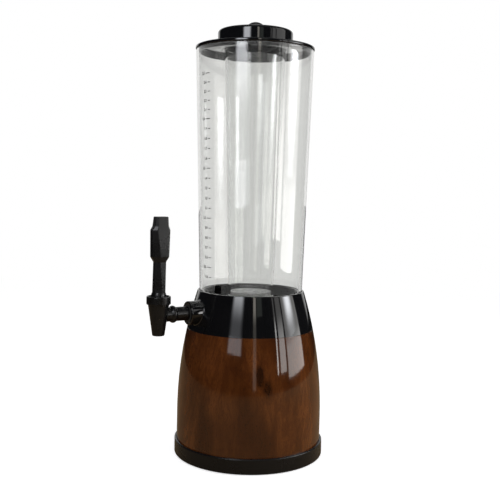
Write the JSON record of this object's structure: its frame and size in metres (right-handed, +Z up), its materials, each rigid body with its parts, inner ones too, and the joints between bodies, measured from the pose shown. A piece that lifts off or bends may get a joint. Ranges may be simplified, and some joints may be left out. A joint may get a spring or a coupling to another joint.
{
  "type": "drink tower dispenser",
  "caption": "Table-top drink tower: clear graduated tube with inner ice tube and lid, on a wood-look barrel base with a lever tap.",
  "frame": {"origin": "under the middle of the base, on the surface that it stands on", "axes": "+Z up along the tube, the tap points along -Y"},
  "size_m": [0.162, 0.2013, 0.4647],
  "materials": {
    "rubber_foot": "matt rubber pad",
    "rubber_black": "soft black sealing rubber",
    "silicone": "milky silicone rubber",
    "satin_black": "satin black moulded plastic",
    "gloss_black": "high gloss black moulded plastic",
    "wood_print": "walnut grain print under a clear gloss coat",
    "steel_screw": "bright steel",
    "spring_steel": "spring steel wire",
    "clear_plastic": "clear moulded plastic with a printed scale",
    "clear_ice": "clear moulded plastic",
    "frosted": "frosted pale plastic",
    "white_plastic": "white moulded plastic"
  },
  "bodies": {
    "base": {"rubber_feet": "rubber_foot", "bottom_plate": "satin_black", "plate_screws": "steel_screw", "base_ring": "satin_black", "base_shell": "wood_print", "seam_screws": "steel_screw", "collar": "gloss_black", "well_cup": "gloss_black", "tube_gasket": "rubber_black", "clear_tube": "clear_plastic", "tap_outer_seal": "rubber_black", "tap_inner_seal": "rubber_black", "tap_lock_nut": "satin_black", "tap_body": "satin_black", "tap_bonnet": "satin_black", "pivot_pins": "steel_screw", "stem_seal": "rubber_black", "tap_spring": "spring_steel"},
    "lid": {"lid": "gloss_black", "ice_tube": "clear_ice", "ice_tube_floor": "frosted", "ice_tube_seal": "silicone"},
    "cap": {"lid_cap": "gloss_black", "cap_seal": "silicone", "cap_knob": "gloss_black"},
    "handle": {"tap_handle": "satin_black", "drive_pin": "steel_screw"},
    "plunger": {"tap_stem": "white_plastic", "seat_cup": "silicone"}
  },
  "joints": [
    {"name": "lid_lift", "type": "slide", "parent": "base", "child": "lid", "axis": [0, 0, 1], "range_m": [0, 0.28]},
    {"name": "cap_lift", "type": "slide", "parent": "lid", "child": "cap", "axis": [0, 0, 1], "range_m": [0, 0.05]},
    {"name": "handle_tilt", "type": "hinge", "parent": "base", "child": "handle", "pos_m": [0, -0.1078, 0.1752], "axis": [1, 0, 0], "range_deg": [0, 35], "stiffness_Nm_per_rad": 0.06, "springref_deg": -20.05},
    {"name": "plunger_lift", "type": "slide", "parent": "base", "child": "plunger", "axis": [0, 0, 1], "range_m": [0, 0.00173], "deforming": ["tap_spring"]}
  ],
  "couplings": [
    {"joint": "plunger_lift", "follows": "handle_tilt", "m_per_rad": 0.0028169}
  ]
}
